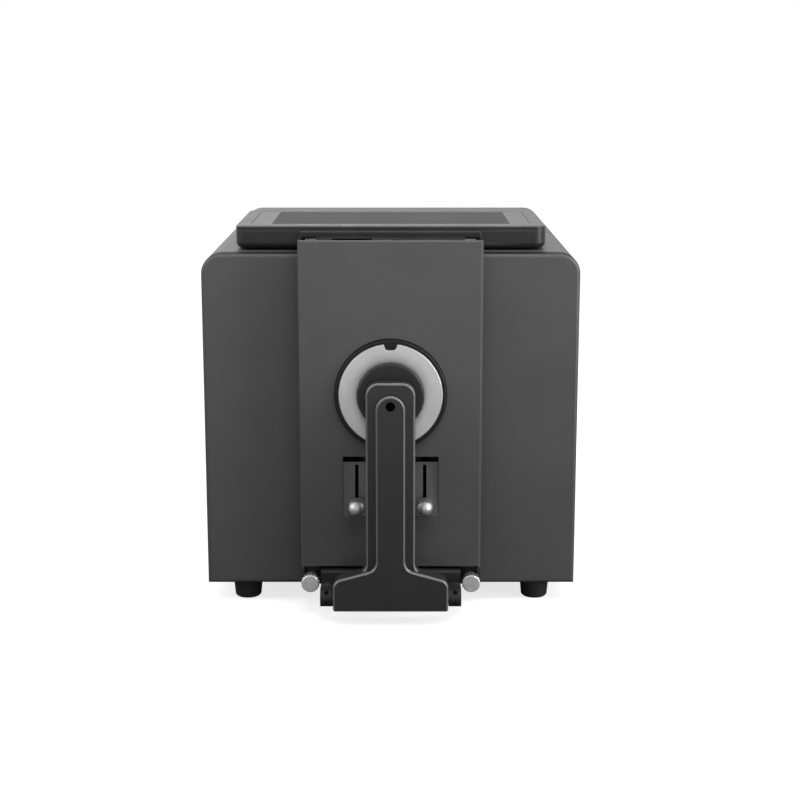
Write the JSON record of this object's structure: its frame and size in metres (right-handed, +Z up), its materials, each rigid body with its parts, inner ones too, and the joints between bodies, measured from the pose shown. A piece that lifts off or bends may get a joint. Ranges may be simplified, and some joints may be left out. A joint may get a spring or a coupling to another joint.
{
  "type": "benchtop spectrophotometer",
  "caption": "Box-shaped benchtop colour spectrophotometer with a front measuring port, a spring-closed clamp arm, slide levers and a tilting touch display on top.",
  "frame": {"origin": "on the table plane under the centre of the instrument's bounding box", "axes": "+Z up; the measuring port and clamp arm face -Y; +X is to the right seen from the front"},
  "size_m": [0.24, 0.37, 0.2467],
  "materials": {
    "casing_paint": "fine matte powder coat",
    "nose_anodised": "matte dark grey anodised",
    "arm_anodised": "satin black anodised",
    "display_plastic": "fine moulded texture",
    "display_glass": "dark gloss cover glass",
    "screen_panel": "dark panel, switched off",
    "port_black": "satin black",
    "ring_satin": "satin turned",
    "lever_polished": "polished",
    "thumb_steel": "fine turned, grooved rim",
    "screw_steel": "zinc plated",
    "hinge_steel": "ground pin",
    "foot_rubber": "moulded",
    "pad_rubber": "matte",
    "sphere_shell": "white diffuse inside",
    "cast_inner": "cast",
    "lamp_housing": "moulded",
    "circuit_board": "solder mask",
    "stand_brass": "plain",
    "socket_black": "moulded",
    "socket_steel": "stamped"
  },
  "bodies": {
    "casing": {"front_plate": "casing_paint", "wrap_cover": "casing_paint", "base_tray": "casing_paint", "rear_panel": "casing_paint", "rear_panel_screws": "screw_steel", "feet": "foot_rubber", "foot_screws": "screw_steel", "nose_shell": "nose_anodised", "display_hinge_pins": "hinge_steel", "lever_plate": "nose_anodised", "lever_rods": "hinge_steel", "port_bezel": "port_black", "aperture_ring": "ring_satin", "sphere_front_half": "sphere_shell", "sphere_rear_half": "sphere_shell", "sphere_cradle": "cast_inner", "lamp_module": "lamp_housing", "lens_tube": "cast_inner", "light_trap": "cast_inner", "spectrometer_module": "cast_inner", "main_board": "circuit_board", "power_board": "circuit_board", "board_stands": "stand_brass", "dc_inlet": "socket_black", "usb_socket": "socket_steel", "serial_port": "socket_steel", "power_switch_frame": "socket_black", "arm_carrier": "arm_anodised", "arm_hinge_pin": "hinge_steel"},
    "clamp": {"clamp_arm": "arm_anodised", "arm_spring": "hinge_steel"},
    "pad": {"clamp_pad": "pad_rubber", "pad_plate": "arm_anodised"},
    "display": {"display_housing": "display_plastic", "display_bezel": "display_plastic", "display_glass": "display_glass", "display_panel": "screen_panel", "display_board": "circuit_board", "display_rests": "foot_rubber"},
    "lever_right": {"lever_knob_right": "lever_polished", "lever_carriage_right": "port_black"},
    "lever_left": {"lever_knob_left": "lever_polished", "lever_carriage_left": "port_black"},
    "thumb_right": {"thumb_screw_right": "thumb_steel"},
    "thumb_left": {"thumb_screw_left": "thumb_steel"},
    "rocker": {"power_rocker": "socket_black"}
  },
  "joints": [
    {"name": "arm_swing", "type": "hinge", "parent": "casing", "child": "clamp", "pos_m": [0, -0.173, 0.0165], "axis": [1, 0, 0], "range_deg": [0, 88], "stiffness_Nm_per_rad": 0.2, "springref_deg": -85.94},
    {"name": "pad_slide", "type": "slide", "parent": "clamp", "child": "pad", "axis": [0, -1, 0], "range_m": [0, 0.004], "stiffness_N_per_m": 600, "springref_m": -0.003},
    {"name": "display_tilt", "type": "hinge", "parent": "casing", "child": "display", "pos_m": [0, -0.129, 0.2369], "axis": [1, 0, 0], "range_deg": [0, 70]},
    {"name": "lever_right_slide", "type": "slide", "parent": "casing", "child": "lever_right", "axis": [0, 0, 1], "range_m": [0, 0.024]},
    {"name": "lever_left_slide", "type": "slide", "parent": "casing", "child": "lever_left", "axis": [0, 0, 1], "range_m": [0, 0.024]},
    {"name": "thumb_right_turn", "type": "hinge", "parent": "casing", "child": "thumb_right", "pos_m": [0.0513, -0.137, 0.0235], "axis": [0, -1, 0], "continuous": true},
    {"name": "thumb_left_turn", "type": "hinge", "parent": "casing", "child": "thumb_left", "pos_m": [-0.0513, -0.137, 0.0235], "axis": [0, -1, 0], "continuous": true},
    {"name": "power_press", "type": "hinge", "parent": "casing", "child": "rocker", "pos_m": [0.09, 0.179, 0.045], "axis": [-1, 0, 0], "range_deg": [0, 20]}
  ]
}
